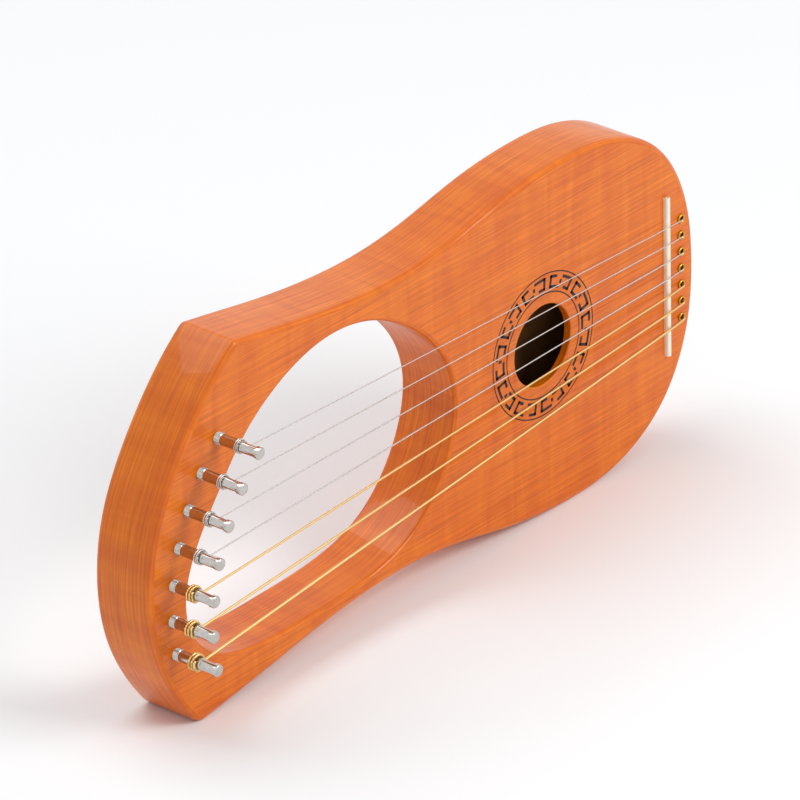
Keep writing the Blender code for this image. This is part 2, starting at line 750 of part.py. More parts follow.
def stand_up(edge, frame):
    """Turn the harp's frame so that it rests on its bass side, centred over the origin."""
    slope = resting_angle(edge)
    frame.rotation_euler = (math.pi / 2, slope, 0.0)
    along = edge[:, 0] * math.cos(slope) + edge[:, 1] * math.sin(slope)
    up = edge[:, 1] * math.cos(slope) - edge[:, 0] * math.sin(slope)
    frame.location = (
        -(along.min() + along.max()) / 2 * MM,
        (PIN_OUT - BODY_DEPTH) / 2 * MM,
        -up.min() * MM,
    )


def build():
    for old in list(bpy.data.objects):
        bpy.data.objects.remove(old)
    frame = bpy.data.objects.new("harp_frame", None)
    bpy.context.collection.objects.link(frame)
    edge = outline()
    gap = opening()
    add_plates(edge, gap, frame)
    inset = add_frame(edge, gap, frame)
    add_braces(inset, frame)
    add_saddle(frame)
    add_eyelets(frame)
    add_ball_ends(frame)
    add_pins(frame)
    add_strings(frame)
    stand_up(edge, frame)
    bpy.context.view_layer.update()


build()
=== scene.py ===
"""Finished surfaces for a small seven-string lyre harp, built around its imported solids.

Shapes are drawn in millimetres in the harp's own frame: x runs along the length towards the
tail, y across it towards the treble side and z out of the face, with the sound hole's centre
at the origin. The function placed turns them into the frame's metres.
"""

import math

import bpy
import numpy as np
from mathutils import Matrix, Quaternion, Vector
from mathutils.geometry import tessellate_polygon


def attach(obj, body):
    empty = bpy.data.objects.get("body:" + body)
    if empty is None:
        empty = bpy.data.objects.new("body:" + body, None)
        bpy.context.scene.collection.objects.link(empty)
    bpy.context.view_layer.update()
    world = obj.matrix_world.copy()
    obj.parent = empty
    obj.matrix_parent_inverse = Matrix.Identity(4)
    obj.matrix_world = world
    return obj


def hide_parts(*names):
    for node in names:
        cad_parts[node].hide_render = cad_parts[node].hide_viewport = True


bl_info = {
    "name": "Lyre harp surfaces",
    "version": (1, 0, 0),
    "blender": (4, 5, 0),
    "location": "View3D > Sidebar > Lyre harp",
    "description": "Builds the finished surfaces of a small seven-string lyre harp",
    "category": "Add Mesh",
}

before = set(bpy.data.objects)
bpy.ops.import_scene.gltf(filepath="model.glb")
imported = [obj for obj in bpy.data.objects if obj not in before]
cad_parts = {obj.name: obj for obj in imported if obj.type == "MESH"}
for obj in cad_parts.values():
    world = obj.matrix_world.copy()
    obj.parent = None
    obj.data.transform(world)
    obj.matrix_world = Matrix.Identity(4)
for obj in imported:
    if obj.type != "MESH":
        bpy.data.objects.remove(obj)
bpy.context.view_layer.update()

# How the harp stands: its slope, and the place of the sound hole's centre in metres
SLOPE = math.radians(0.5799)
ORIGIN = np.array((0.0822392, -0.0039, 0.0905858))
MM = 0.001

# Body: outline, opening and walls
SIDE_STATIONS = [
    (113.0, 0.0), (109.5, 31.5), (90.0, 67.0), (53.0, 87.0), (15.0, 90.3), (-25.0, 86.6),
    (-60.0, 79.8), (-95.0, 75.9), (-130.0, 76.8), (-165.0, 80.8), (-200.0, 86.6), (-235.0, 92.0),
    (-270.0, 97.0),
]
HEAD_STATIONS = [
    (-200.0, 99.0), (-224.0, 81.5), (-252.5, 50.0), (-271.8, 15.0),
    (-277.3, -20.0), (-271.8, -52.0), (-259.5, -76.5), (-242.0, -100.0),
]
OPENING_STATIONS = [
    (-63.6, 0.0), (-72.0, 24.0), (-95.0, 47.5), (-122.0, 61.5), (-152.0, 65.0), (-184.0, 56.0),
    (-210.0, 38.5), (-229.0, 16.5), (-246.5, -9.0), (-252.0, -29.0), (-248.0, -47.0),
    (-236.0, -60.5), (-211.0, -69.5), (-172.0, -71.0), (-130.0, -69.0), (-97.0, -59.5),
    (-73.5, -36.0),
]
TREBLE_CORNER_RADIUS = 4.0
BASS_CORNER_RADIUS = 9.0
BODY_DEPTH = 33.5
FACE_THICKNESS = 4.0
BACK_THICKNESS = 4.0
SOUND_HOLE_RADIUS = 20.5
SOUND_HOLE_EDGE = 0.8
HOLLOW_CENTRE_X = 17.0
HOLLOW_HALF_LENGTH = 61.0
HOLLOW_HALF_WIDTH = 70.0

# Rosette: two thin rings, and a fret between them whose strokes are shares of a unit's angle
RING_RADII = (26.5, 36.5)
RING_WIDTH = 0.6
FRET_UNITS = 10
FRET_SHARE = 0.84
FRET_RADII = (28.2, 34.8)
FRET_STROKE = 1.45
LONG_LEG = 0.46
SHORT_LEG = 0.3
DASH_HEIGHT = 2.0
FRET_FIRST_ANGLE = math.radians(8.0)
INLAY_HEIGHT = 0.05

# Saddle, whose ends are rounded and narrow by a share for each millimetre
SADDLE_X = 91.6
SADDLE_WIDTH = 3.0
SADDLE_LENGTH = 84.0
SADDLE_RISE = 2.4
SADDLE_ROUNDING = 1.2
SADDLE_END_RADIUS = 0.5
SADDLE_END_TAPER = 0.25

# Eyelets, the near-black disc of painted shade in each bore, and the ball ends' holes behind them
EYELET_X = 102.9
EYELET_PITCH = 8.7
EYELET_FLANGE_RADIUS = 2.35
EYELET_BORE_RADIUS = 1.25
EYELET_TUBE_RADIUS = 1.75
EYELET_LOW = 0.3
EYELET_HEIGHT = 0.8
EYELET_DEPTH = 3.6
BORE_SHADE_LOW = -0.4
BORE_SHADE_TOP = 0.02
BALL_HOLE_RADIUS = 2.3
BALL_HOLE_CHAMFER = 0.4
BALL_SEAT_DEPTH = 13.0

# Tuning pins: their row, then one pin from the wood outwards
PIN_ARC_CENTRE = (-156.0, -32.2)
PIN_ARC_RADIUS = 106.4
PIN_PITCH = 17.75
PIN_FIRST_ANGLE = math.radians(132.7)
PIN_REST_TURNS = tuple(math.radians(a) for a in (150.0, 139.0, 146.0, 158.0, 143.0, 135.0, 149.0))
PIN_RADIUS = 3.0
PIN_SHAFT_RADIUS = 2.75
PIN_BURIED = 1.5
PIN_BAND = 2.8
PIN_BAND_SLOPE = 0.25
PIN_THREAD_PITCH = 0.55
PIN_THREAD_DEPTH = 0.22
PIN_HEAD_START = 15.2
PIN_HEAD_SLOPE = 0.5
PIN_FLAT_HALF = 2.45
PIN_FLAT_LENGTH = 8.0
PIN_FLAT_FADE = 0.35
PIN_OUT = 25.7
PIN_CHAMFER = 0.8

# Strings, treble first: their gap to what they lie on, and their bends over saddle and eyelet
STRING_RADII = (0.25, 0.28, 0.31, 0.34, 0.55, 0.6, 0.65)
STRING_COUNT = len(STRING_RADII)
PLAIN_STRINGS = 4
STRING_GAP = 0.3
SADDLE_STRING_PITCH = 9.0
SADDLE_BEND_RADIUS = 12.0
EYELET_BEND_SLACK = 0.4

# A string's winding: its whole turns, and the tail that leads out of the pin's hole
WHOLE_TURNS = 2
WINDING_GAP = 0.55
TAIL_TURN = 1.3
TAIL_TURN_POWER = 1.4
TAIL_LIFT = 0.9
TAIL_LIFT_POWER = 1.5

# Shares of a string's straight run between which its points lie
RUN_START = 0.01
RUN_END = 0.93

# A tube dives too steeply to be levelled where less than this share of its direction is level
LEAST_LEVEL = 0.2

# A length too small to see, for closed points and for comparing heights
UNSEEN = 0.01

# Fineness: counts of sides, steps and points, and the widest step of a fret's stroke
SIDE_STEPS = 80
OPENING_STEPS = 60
OUTLINE_STEP = 1.6
CORNER_STEPS = 12
EDGE_STEPS = 7
HOLE_SIDES = 120
BALL_HOLE_SIDES = 32
RING_SIDES = 180
STROKE_STEP = math.radians(1.5)
SADDLE_END_RINGS = 4
EYELET_ROLL_POINTS = 13
EYELET_SIDES = 40
BORE_SHADE_SIDES = 24
PIN_SIDES = 48
THREAD_RINGS = 60
TAIL_POINTS = 12
LOOP_POINTS = 56
RUN_POINTS = 40
BEND_STEPS = 8
STRING_SIDES = 10

# Edges sharper than these angles are shaded as edges
SADDLE_SHARP = math.radians(40.0)
EYELET_SHARP = math.radians(50.0)
PIN_SHARP = math.radians(30.0)

# Marks of the wood along and across its grain: nine pores a centimetre, and softer, wider bands
PORE_SIZE = (50.0, 10 / 9)
STREAK_SIZE = (1000 / 12, 100 / 11)
FIGURE_SIZE = (100 / 11, 1000 / 14)
PORE_DEPTH = 0.2

# Planes of the wood's pattern: the step from one wall's to the next, and the face and back's
WALL_GRAIN_STEP = 40.0
FLAT_GRAIN = -200.0

# Marks of the other finishes: their depth, and how far they change the roughness
MARK_DEPTH = 0.1
MARK_SMOOTHER = 0.8
MARK_ROUGHER = 1.25

# Wound strings: the turns as drawn, the grooves' depth and the wave texture's radians a unit
DRAWN_TURN = 0.8
GROOVE_DEPTH = 0.05
WAVE_RATE = 20.0

# Camera, from the photograph's perspective: place and aim in metres
CAMERA_PLACE = Vector((-2.771, -2.407, 2.042))
CAMERA_AIM = Vector((-0.0206, -0.0039, 0.1052))
CAMERA_ROLL = math.radians(-1.79)
CAMERA_LENS = 405.0
CAMERA_SENSOR = 36.0
CAMERA_REACH = 50.0

# Room: lamps as name, place in metres, width in metres and watts, and the light round them
LAMPS = (
    ("key_lamp", (0.7, -1.9, 1.6), 1.3, 31.0),
    ("fill_lamp", (-1.8, -0.9, 0.9), 1.4, 1.5),
    ("top_lamp", (-0.2, 0.9, 2.2), 1.8, 22.0),
)
LAMP_AIM = Vector((0.0, 0.0, 0.09))
ROOM_LIGHT = 0.52


# Curves in the plane of the face

def spline_slopes(t, p, closed):
    """Slopes of the cubic spline through points p at parameters t.

    Each slope gives the curve the same curvature on both sides of its point, and an open curve
    has no curvature at its ends.
    """
    n = len(p) - 1 if closed else len(p)
    h = np.diff(t)
    matrix = np.zeros((n, n))
    right = np.zeros((n, 2))
    for i in range(n) if closed else range(1, n - 1):
        before, after = h[i - 1], h[i]
        back = p[i] - (p[i - 1] if i else p[n - 1])
        matrix[i, (i - 1) % n] += after
        matrix[i, i] += 2 * (before + after)
        matrix[i, (i + 1) % n] += before
        right[i] = 3 * (after * back / before + before * (p[i + 1] - p[i]) / after)
    if closed:
        slopes = np.linalg.solve(matrix, right)
        return np.vstack([slopes, slopes[:1]])
    matrix[0, :2] = 2, 1
    matrix[-1, -2:] = 1, 2
    right[0] = 3 * (p[1] - p[0]) / h[0]
    right[-1] = 3 * (p[-1] - p[-2]) / h[-1]
    return np.linalg.solve(matrix, right)


def smooth(stations, steps, closed=False):
    """Points along a smooth curve through the stations.

    Between each two stations lies the cubic that has their places and slopes at its ends.
    """
    p = np.array(stations, float)
    if closed:
        p = np.vstack([p, p[:1]])
    t = np.append(0.0, np.cumsum(np.hypot(*np.diff(p, axis=0).T)))
    s = spline_slopes(t, p, closed)
    u = np.linspace(0.0, 1.0, steps, endpoint=False)[:, None]
    parts = []
    for i in range(len(p) - 1):
        h = t[i + 1] - t[i]
        start = (1 + 2 * u) * (1 - u) ** 2 * p[i] + u * (1 - u) ** 2 * h * s[i]
        end = u ** 2 * (3 - 2 * u) * p[i + 1] + u ** 2 * (u - 1) * h * s[i + 1]
        parts.append(start + end)
    points = np.vstack(parts)
    return points if closed else np.vstack([points, p[-1:]])


def even(points, step):
    """The same line with its points evenly spaced, about one step apart."""
    s = np.append(0.0, np.cumsum(np.hypot(*np.diff(points, axis=0).T)))
    at = np.linspace(0.0, s[-1], max(2, round(s[-1] / step) + 1))
    return np.column_stack([np.interp(at, s, points[:, k]) for k in (0, 1)])


def shifted(points, distance, closed=True):
    """The line with each point moved square to it, to its left, which is into the wood here."""
    if closed:
        d = np.roll(points, -1, axis=0) - np.roll(points, 1, axis=0)
    else:
        d = np.gradient(points, axis=0)
    n = np.column_stack([-d[:, 1], d[:, 0]])
    return points + distance * n / np.linalg.norm(n, axis=1)[:, None]


def crossing(a, b):
    """Halfway between the two points where lines a and b come nearest to each other."""
    apart = np.hypot(*(a[:, None] - b[None]).transpose(2, 0, 1))
    i, j = np.unravel_index(apart.argmin(), apart.shape)
    return (a[i] + b[j]) / 2


def filleted(a, b, radius):
    """Line a as far as a round corner, the corner, and line b from there on.

    The corner's centre is where the two lines cross once they are moved in by the radius.
    """
    centre = crossing(shifted(a, radius, False), shifted(b, radius, False))
    i = np.hypot(*(a - centre).T).argmin()
    j = np.hypot(*(b - centre).T).argmin()
    start = math.atan2(a[i][1] - centre[1], a[i][0] - centre[0])
    turn = (math.atan2(b[j][1] - centre[1], b[j][0] - centre[0]) - start) % (2 * math.pi)
    angles = start + turn * np.linspace(0.0, 1.0, CORNER_STEPS + 1)
    arc = centre + radius * np.column_stack([np.cos(angles), np.sin(angles)])
    return a[:i], arc, b[j + 1:]


def outline():
    """The body's outline, anticlockwise from the tail: treble side, head edge, bass side."""
    sides = smooth([(x, -y) for x, y in SIDE_STATIONS[:0:-1]] + SIDE_STATIONS, SIDE_STEPS)
    tail = len(sides) // 2
    head = smooth(HEAD_STATIONS, SIDE_STEPS)
    upper, first_corner, rest = filleted(sides[tail:], head, TREBLE_CORNER_RADIUS)
    edge, second_corner, lower = filleted(rest, sides[:tail + 1], BASS_CORNER_RADIUS)
    lines = [even(line, OUTLINE_STEP) for line in (upper, edge, lower)]
    return np.vstack([lines[0], first_corner, lines[1], second_corner, lines[2][:-1]])


def opening():
    """The opening's edge, clockwise, so that the wood lies on its left."""
    dense = smooth(OPENING_STATIONS, OPENING_STEPS, closed=True)
    return even(np.vstack([dense, dense[:1]]), OUTLINE_STEP)[:-1][::-1]


def oval(x, y, half_length, half_width, sides):
    """A round or oval loop, clockwise, so that the wood round it lies on its left."""
    a = -2 * math.pi * np.arange(sides) / sides
    return np.column_stack([x + half_length * np.cos(a), y + half_width * np.sin(a)])


def quarter():
    """Angles from nought to a right angle, for the quarter rounds of edges."""
    return np.linspace(0.0, math.pi / 2, EDGE_STEPS + 1)


# Meshes

def placed(points):
    """Points in the harp's millimetres as the frame's metres.

    They are turned by the slope, the way out of the face becomes -Y, and then they are moved.
    """
    p = np.asarray(points, float) * MM
    c, s = math.cos(SLOPE), math.sin(SLOPE)
    x = c * p[..., 0] + s * p[..., 1]
    z = -s * p[..., 0] + c * p[..., 1]
    return np.stack([x, -p[..., 2], z], axis=-1) + ORIGIN


def grid_faces(rings, count, first=0):
    """Quads between neighbouring rings, each a closed loop of count points numbered from first."""
    i = np.arange(count)
    j = (i + 1) % count
    base = first + count * np.arange(rings - 1)[:, None]
    quads = np.stack([base + i, base + j, base + count + j, base + count + i], axis=-1)
    return quads.reshape(-1, 4)


def capped_faces(rings, count):
    """The quads between rings as lists, with the first and the last ring filled after them."""
    last = (rings - 1) * count
    ends = [list(range(count))[::-1], [last + k for k in range(count)]]
    return grid_faces(rings, count).tolist() + ends


def turned_over(faces):
    """The same faces seen from the other side."""
    return [face[::-1] for face in faces]


def finish_piece(name, points, faces, look, body, replaced, flat=(), grain=None):
    """Put the arrays into a mesh, shade it smooth but for the flat faces, and give it a body.

    grain, where given, is each face corner's place along and across the grain in millimetres.
    """
    mesh = bpy.data.meshes.new(name)
    mesh.from_pydata(placed(points).tolist(), [], faces)
    smooth_flags = np.ones(len(faces), bool)
    smooth_flags[list(flat)] = False
    mesh.polygons.foreach_set("use_smooth", smooth_flags)
    if grain is not None:
        layer = mesh.attributes.new("grain", "FLOAT_VECTOR", "CORNER")
        layer.data.foreach_set("vector", np.asarray(grain, np.float32).ravel())
    mesh.materials.append(look)
    mesh.update()
    made = bpy.data.objects.new(name, mesh)
    bpy.context.scene.collection.objects.link(made)
    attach(made, body)
    if replaced:
        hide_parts(*replaced)
    return made


def refinish(node, look):
    """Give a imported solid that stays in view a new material."""
    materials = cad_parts[node].data.materials
    materials.clear()
    materials.append(look)


def turned(profile, sides, section=None):
    """A turned shape: (radius, z) pairs carried round the z axis, with both ends closed.

    section, where given, works out the radius from the profile's radius, z and the angle.
    """
    profile = np.asarray(profile, float)
    angles = 2 * math.pi * np.arange(sides) / sides
    radius, z = profile[:, :1], profile[:, 1:]
    reach = section(radius, z, angles[None]) if section else radius + 0 * angles[None]
    points = np.stack([reach * np.cos(angles), reach * np.sin(angles), z + 0 * reach], axis=-1)
    return points.reshape(-1, 3), capped_faces(len(profile), sides)


def swept_ring(profile, sides):
    """A closed loop of (radius, z) pairs carried round the z axis, as on an eyelet."""
    profile = np.asarray(profile + profile[:1], float)
    angles = 2 * math.pi * np.arange(sides) / sides
    points = np.stack([
        profile[:, :1] * np.cos(angles), profile[:, :1] * np.sin(angles),
        profile[:, 1:] + 0 * angles,
    ], axis=-1)
    kept = (len(profile) - 1) * sides
    faces = grid_faces(len(profile), sides) % kept
    return points[:-1].reshape(-1, 3), faces.tolist()


def tube(path, radius, sides):
    """A round tube: a circle carried along a path, with both ends closed.

    The circle's first axis lies level and square to the path. Where the path dives too steeply
    for one, the last such axis goes on.
    """
    path = np.asarray(path, float)
    ahead = np.gradient(path, axis=0)
    ahead /= np.linalg.norm(ahead, axis=1)[:, None]
    side = np.column_stack([-ahead[:, 1], ahead[:, 0], 0 * ahead[:, 0]])
    level = np.linalg.norm(side, axis=1)
    last = np.flatnonzero(level > LEAST_LEVEL)[-1]
    side[last + 1:] = side[last]
    side /= np.linalg.norm(side, axis=1)[:, None]
    up = np.cross(ahead, side)
    a = 2 * math.pi * np.arange(sides) / sides
    round_it = side[:, None] * np.cos(a)[:, None] + up[:, None] * np.sin(a)[:, None]
    points = path[:, None] + radius * round_it
    return points.reshape(-1, 3), capped_faces(len(path), sides)


def joined(shapes):
    """Several pairs of points and faces as one."""
    points, faces = [], []
    count = 0
    for some_points, some_faces in shapes:
        points.append(some_points)
        faces += [[count + k for k in face] for face in some_faces]
        count += len(some_points)
    return np.vstack(points), faces


# Materials

def linear(hex_colour):
    """An sRGB hex colour as linear RGBA: the sRGB curve is straight near black, then a power."""
    values = [int(hex_colour[k:k + 2], 16) / 255 for k in (0, 2, 4)]
    return [v / 12.92 if v <= 0.04045 else ((v + 0.055) / 1.055) ** 2.4 for v in values] + [1.0]


def new_material(name):
    """A material with an empty node tree."""
    made = bpy.data.materials.new(name)
    made.use_nodes = True
    made.node_tree.nodes.clear()
    return made


def add_node(tree, kind, settings=None, stops=(), **inputs):
    """Add a node with its settings, its inputs and, on a colour ramp, its two stops.

    An input is a value or another node's socket. Its name is the socket's, with _ for a space,
    or _ and the socket's number. A stop is a place and a hex colour.
    """
    node = tree.nodes.new(kind)
    for key, value in (settings or {}).items():
        setattr(node, key, value)
    for key, value in inputs.items():
        socket = node.inputs[int(key[1:]) if key[1:].isdigit() else key.replace("_", " ")]
        if isinstance(value, bpy.types.NodeSocket):
            tree.links.new(value, socket)
        else:
            socket.default_value = value
    if stops:
        for element, (place, colour) in zip(node.color_ramp.elements, stops):
            element.position = place
            element.color = linear(colour)
    return node


def grain_scale(size):
    """A pattern's scale from the size of its marks along and across the grain."""
    along, across = size
    return 1 / along, 1 / across, 1 / across


def lacquered_mahogany(light, dark):
    """Mahogany veneer under clear gloss lacquer.

    Long fine pores run along the grain, soft streaks run with them and bands of figure lie
    across, and the lacquer gives a sharp reflection over the softer one of the wood.
    """
    made = new_material("lacquered_mahogany")
    tree = made.node_tree
    grain = add_node(tree, "ShaderNodeAttribute", {"attribute_name": "grain"}).outputs["Vector"]
    long_pores = add_node(tree, "ShaderNodeMapping", Vector=grain,
                          Scale=grain_scale(PORE_SIZE)).outputs[0]
    pores = add_node(tree, "ShaderNodeTexNoise", Vector=long_pores, Scale=1.0, Detail=5.0,
                     Roughness=0.65).outputs["Fac"]
    broad = add_node(tree, "ShaderNodeMapping", Vector=grain,
                     Scale=grain_scale(STREAK_SIZE)).outputs[0]
    streaks = add_node(tree, "ShaderNodeTexNoise", Vector=broad, Scale=1.0, Detail=3.0,
                       Roughness=0.5).outputs["Fac"]
    across = add_node(tree, "ShaderNodeMapping", Vector=grain,
                      Scale=grain_scale(FIGURE_SIZE)).outputs[0]
    figure = add_node(tree, "ShaderNodeTexNoise", Vector=across, Scale=1.0, Detail=2.0,
                      Distortion=0.6).outputs["Fac"]
    wood = add_node(tree, "ShaderNodeValToRGB", stops=[(0.30, dark), (0.66, light)],
                    Fac=pores).outputs["Color"]
    shade = add_node(tree, "ShaderNodeValToRGB", stops=[(0.30, "F0CDA4"), (0.70, "FFFFFF")],
                     Fac=streaks).outputs["Color"]
    band = add_node(tree, "ShaderNodeValToRGB", stops=[(0.35, "E9CBA6"), (0.65, "FFFFFF")],
                    Fac=figure).outputs["Color"]
    multiply = {"data_type": "RGBA", "blend_type": "MULTIPLY"}
    streaked = add_node(tree, "ShaderNodeMix", multiply, _0=0.55, _6=wood, _7=shade).outputs[2]
    figured = add_node(tree, "ShaderNodeMix", multiply, _0=0.5, _6=streaked, _7=band).outputs[2]
    bump = add_node(tree, "ShaderNodeBump", Strength=0.06, Distance=PORE_DEPTH * MM, Height=pores)
    shader = add_node(tree, "ShaderNodeBsdfPrincipled", Base_Color=figured, Roughness=0.38,
                      Specular_IOR_Level=0.2, Coat_Weight=0.35, Coat_Roughness=0.05,
                      Normal=bump.outputs[0])
    add_node(tree, "ShaderNodeOutputMaterial", Surface=shader.outputs[0])
    return made


def plain_finish(name, colour, roughness, vary, mark, metallic=0.0, coat=0.0):
    """One colour with soft marks of a size in millimetres, darker by the share vary.

    The marks also change the roughness and the height a little, as wear and polishing do.
    """
    made = new_material(name)
    tree = made.node_tree
    vector = add_node(tree, "ShaderNodeTexCoord").outputs["Object"]
    marks = add_node(tree, "ShaderNodeTexNoise", Vector=vector, Scale=1 / (mark * MM),
                     Detail=3.0).outputs[0]
    rough = add_node(tree, "ShaderNodeMapRange", Value=marks, To_Min=roughness * MARK_SMOOTHER,
                     To_Max=roughness * MARK_ROUGHER).outputs[0]
    darker = "".join(f"{round(int(colour[k:k + 2], 16) * (1 - vary)):02X}" for k in (0, 2, 4))
    tint = add_node(tree, "ShaderNodeValToRGB", stops=[(0.3, darker), (0.7, colour)],
                    Fac=marks).outputs["Color"]
    bump = add_node(tree, "ShaderNodeBump", Strength=0.05, Distance=MARK_DEPTH * MM, Height=marks)
    shader = add_node(tree, "ShaderNodeBsdfPrincipled", Base_Color=tint, Roughness=rough,
                      Metallic=metallic, Coat_Weight=coat, Normal=bump.outputs[0])
    add_node(tree, "ShaderNodeOutputMaterial", Surface=shader.outputs[0])
    return made


def bare_wood():
    """Sanded softwood without lacquer: matt, with broad darker patches."""
    return plain_finish("bare_wood_inside", "A8743C", 0.7, 0.35, 50 / 3)


def burnt_inlay(colour):
    """A pattern burnt into the face: nearly black, matt and a little uneven."""
    return plain_finish("burnt_inlay", colour, 0.6, 0.3, 10 / 7)


def polished_cream(colour):
    """Moulded cream plastic, polished like bone: soft gloss with hardly any marks."""
    return plain_finish("polished_cream_saddle", colour, 0.3, 0.06, 10 / 3, coat=0.3)


def polished_brass(colour):
    """Turned and polished brass: bright and yellow, with fine handling marks."""
    return plain_finish("polished_brass", colour, 0.22, 0.12, 2 / 3, metallic=1.0)


def painted_bore_shade():
    """Painted shade for the unlit inside of an eyelet: nearly black and matt."""
    return plain_finish("painted_bore_shade", "120A06", 0.8, 0.2, 10 / 9)


def nickel_plate(colour):
    """Bright nickel plate on steel: a clear reflection with faint marks of the tuning key."""
    return plain_finish("nickel_plate", colour, 0.14, 0.08, 5 / 3, metallic=1.0)


def drawn_steel(colour):
    """Drawn music wire: a smooth grey gleam."""
    return plain_finish("drawn_steel_wire", colour, 0.25, 0.1, 1.25, metallic=1.0)


def wound_bronze(colour):
    """Bronze wire wound on a steel core: bright round turns, with painted shade darkening the grooves
    between them.

    The real winding is too fine to show, so its turns are drawn coarser than they are.
    """
    made = new_material("bronze_winding")
    tree = made.node_tree
    vector = add_node(tree, "ShaderNodeTexCoord").outputs["Object"]
    wave = add_node(tree, "ShaderNodeTexWave", {"bands_direction": "X"}, Vector=vector,
                    Scale=2 * math.pi / (WAVE_RATE * DRAWN_TURN * MM)).outputs["Fac"]
    # The ramp's darker stop falls in the grooves between the turns: painted shade
    tint = add_node(tree, "ShaderNodeValToRGB", stops=[(0.15, "C99A50"), (0.6, colour)],
                    Fac=wave).outputs["Color"]
    bump = add_node(tree, "ShaderNodeBump", Strength=0.2, Distance=GROOVE_DEPTH * MM, Height=wave)
    shader = add_node(tree, "ShaderNodeBsdfPrincipled", Base_Color=tint, Roughness=0.32,
                      Metallic=1.0, Normal=bump.outputs[0])
    add_node(tree, "ShaderNodeOutputMaterial", Surface=shader.outputs[0])
    return made


# Places that several pieces share

def pin_places():
    """The pins' centres, evenly spaced along an arc from the treble side."""
    angles = PIN_FIRST_ANGLE + np.arange(STRING_COUNT) * PIN_PITCH / PIN_ARC_RADIUS
    around = np.column_stack([np.cos(angles), np.sin(angles)])
    return np.array(PIN_ARC_CENTRE) + PIN_ARC_RADIUS * around


def spread(pitch):
    """y of each string where they are evenly spaced, treble first."""
    return pitch * ((STRING_COUNT - 1) / 2 - np.arange(STRING_COUNT))


class LyreSizes(bpy.types.PropertyGroup):
    """Sizes of the finished surfaces that a user would change."""

    edge_radius: bpy.props.FloatProperty(
        name="Edge radius", description="Rounding of the body's outer edges, in millimetres",
        default=3.0, min=0.5, max=3.5)
    opening_edge_radius: bpy.props.FloatProperty(
        name="Opening edge radius", description="Rounding of the opening's edges, in millimetres",
        default=2.0, min=0.5, max=3.0)
    floor_size: bpy.props.FloatProperty(
        name="Floor size", description="Width of the floor", default=9.0, unit="LENGTH")


class LyreColours(bpy.types.PropertyGroup):
    """Colours of the finishes, as sRGB hex values."""

    wood_light: bpy.props.StringProperty(
        name="Wood, light", description="Lighter colour of the lacquered wood", default="F48406")
    wood_dark: bpy.props.StringProperty(
        name="Wood, dark", description="Colour of the pores of the lacquered wood", default="CC6206")
    inlay: bpy.props.StringProperty(
        name="Inlay", description="Colour of the rosette", default="1C0C06")
    cream: bpy.props.StringProperty(
        name="Saddle", description="Colour of the saddle", default="FBF4DE")
    nickel: bpy.props.StringProperty(
        name="Pins", description="Colour of the tuning pins", default="C9C6C1")
    brass: bpy.props.StringProperty(
        name="Eyelets", description="Colour of the eyelets", default="D9A441")
    steel: bpy.props.StringProperty(
        name="Plain strings", description="Colour of the plain strings", default="D9D8D5")
    bronze: bpy.props.StringProperty(
        name="Wound strings", description="Colour of the wound strings", default="F4D594")


# Body

def rounded_profile(radius):
    """(inset, z) pairs from the back's flat to the face's: a quarter round, a wall, another."""
    a = quarter()
    inset = radius * (1 - np.sin(a))
    low = np.column_stack([inset, -BODY_DEPTH + radius * (1 - np.cos(a))])
    high = np.column_stack([inset[::-1], -radius * (1 - np.cos(a[::-1]))])
    return np.vstack([low, high])


def sound_hole_profile():
    """(inset, z) pairs up the sound hole's wall and over its quarter round onto the face."""
    a = quarter()
    rim = np.column_stack([SOUND_HOLE_EDGE * (1 - np.cos(a)), SOUND_HOLE_EDGE * (np.sin(a) - 1)])
    return np.vstack([[0.0, -FACE_THICKNESS], rim])


def ball_hole_profile():
    """(inset, z) pairs from the back over a chamfer, along a ball end's hole to its closed end."""
    return np.array([
        (BALL_HOLE_CHAMFER, -BODY_DEPTH), (0.0, -BODY_DEPTH + BALL_HOLE_CHAMFER),
        (0.0, -BALL_SEAT_DEPTH), (-BALL_HOLE_RADIUS + UNSEEN, -BALL_SEAT_DEPTH),
    ])


def wall_of(loop, profile, first, grain_plane):
    """A profile carried along a loop of the plan, with the grain's place of each corner.

    The grain runs along the loop and its width follows the profile. Each wall has a plane of
    the pattern to itself, so no two look alike.
    """
    rings = np.array([np.column_stack([shifted(loop, d), np.full(len(loop), z)]) for d, z in profile])
    faces = grid_faces(len(profile), len(loop), first)
    step = np.hypot(*(np.roll(loop, -1, axis=0) - loop).T)
    along = np.append(0.0, np.cumsum(step))
    across = np.append(0.0, np.cumsum(np.hypot(*np.diff(profile, axis=0).T)))
    u0, v0 = np.meshgrid(along[:-1], across[:-1])
    u1, v1 = np.meshgrid(along[1:], across[1:])
    plane = np.full(u0.shape, grain_plane)
    corners = np.stack([
        np.stack([u0, v0, plane], -1), np.stack([u1, v0, plane], -1),
        np.stack([u1, v1, plane], -1), np.stack([u0, v1, plane], -1),
    ], axis=2)
    return rings.reshape(-1, 3), faces.tolist(), corners.reshape(-1, 3)


def cap_of(loops, points, up):
    """Flat triangles between loops of point numbers, facing up where up is 1 and down at -1."""
    flat = [[Vector(p) for p in points[loop]] for loop in loops]
    triangles = np.concatenate(loops)[np.array(tessellate_polygon(flat))]
    a, b, c = (points[triangles[:, k]] for k in range(3))
    wrong = np.cross(b - a, c - a)[:, 2] * up < 0
    triangles[wrong] = triangles[wrong][:, ::-1]
    return triangles


